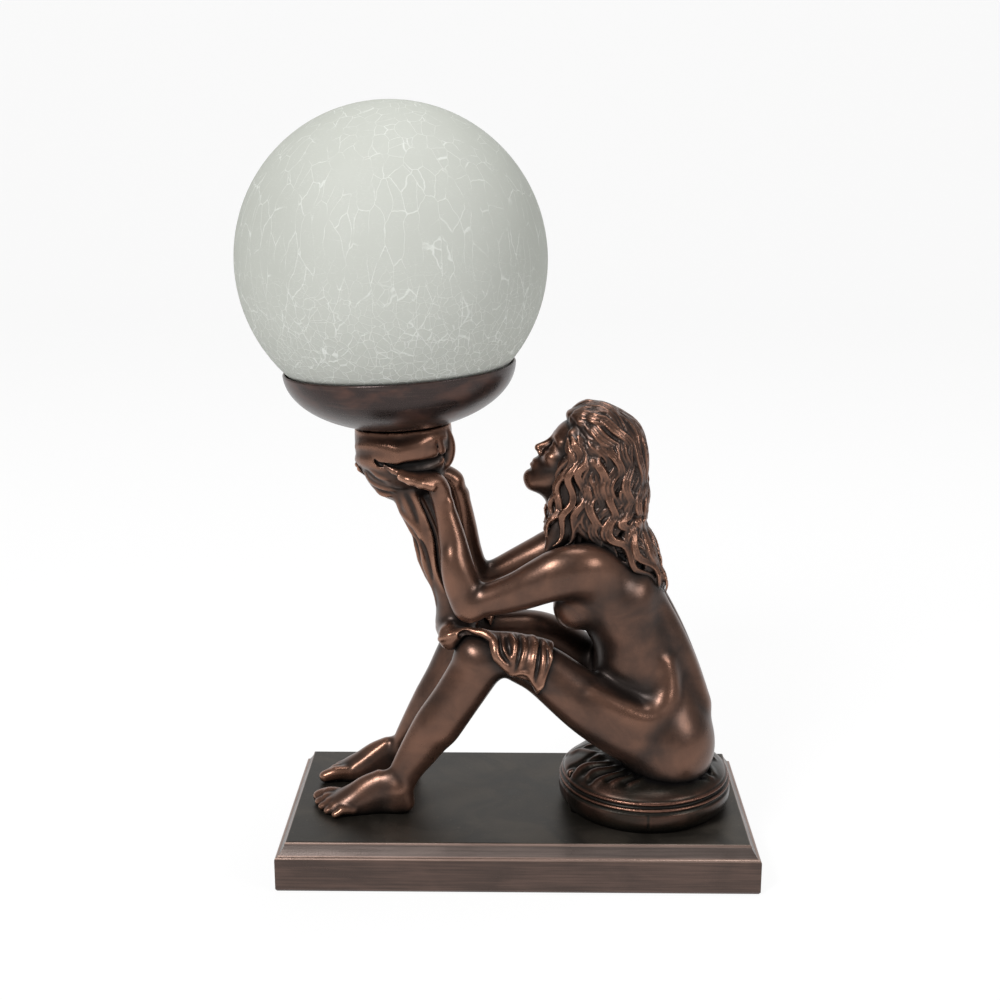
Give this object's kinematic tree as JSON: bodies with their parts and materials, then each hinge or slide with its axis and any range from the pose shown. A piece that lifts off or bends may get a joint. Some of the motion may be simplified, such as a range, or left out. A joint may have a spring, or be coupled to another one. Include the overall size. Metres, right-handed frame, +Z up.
{
  "type": "figural table lamp",
  "caption": "Seated figure on a cushion and moulded plinth, holding up a gathered cloth and a dish with a frosted glass globe.",
  "frame": {"origin": "middle of the plinth's underside, on the surface that the lamp stands on", "axes": "+Z up, +X to the figure's back along the plinth's length, +Y to the figure's right and the rear wall with the cable gland"},
  "size_m": [0.2554, 0.15, 0.3777],
  "materials": {
    "bronzed_casting": "satin",
    "plinth_casting": "satin",
    "dish_metal": "satin",
    "cover_board": "matte",
    "felt": "matte",
    "black_plastic": "satin",
    "insulator": "satin",
    "zinc_steel": "satin",
    "brass": "satin",
    "soft_ring": "matte",
    "solder": "satin",
    "cap_metal": "satin",
    "opal_glass": "gloss",
    "crackle_glass": "satin"
  },
  "bodies": {
    "stand": {"figure_body": "bronzed_casting", "figure_head": "bronzed_casting", "left_arm": "bronzed_casting", "right_arm": "bronzed_casting", "gathered_cloth": "bronzed_casting", "cushion": "bronzed_casting", "plinth": "plinth_casting", "dish": "dish_metal", "base_cover": "cover_board", "felt_pad": "felt", "cable_gland": "black_plastic", "holder_cap": "black_plastic", "holder_skirt": "black_plastic", "holder_insulator": "insulator", "casting_dowels": "zinc_steel", "mounting_screws": "zinc_steel", "mounting_washers": "zinc_steel", "cover_screws": "zinc_steel", "wire_tube": "zinc_steel", "tube_washer": "zinc_steel", "tube_nut": "zinc_steel", "threaded_nipple": "zinc_steel", "dish_washer": "zinc_steel", "dish_nut": "zinc_steel", "screw_shell": "brass", "centre_contact": "brass", "terminal_screws": "brass", "globe_seat_ring": "soft_ring"},
    "globe": {"glass_globe": "crackle_glass"},
    "bulb_thread": {"bulb_contact": "solder"},
    "bulb": {"bulb_cap": "cap_metal", "bulb_glass": "opal_glass"}
  },
  "joints": [
    {"name": "globe_lift", "type": "slide", "parent": "stand", "child": "globe", "axis": [-0.0558, 0, 0.9984], "range_m": [0, 0.13]},
    {"name": "bulb_rise", "type": "slide", "parent": "stand", "child": "bulb_thread", "axis": [-0.0558, 0, 0.9984], "range_m": [0, 0.01412]},
    {"name": "bulb_turn", "type": "hinge", "parent": "bulb_thread", "child": "bulb", "pos_m": [-0.06025, 0, 0.28221], "axis": [-0.0558, 0, 0.9984], "range_deg": [0, 1800]}
  ],
  "couplings": [
    {"joint": "bulb_rise", "follows": "bulb_turn", "m_per_rad": 0.00044882}
  ]
}
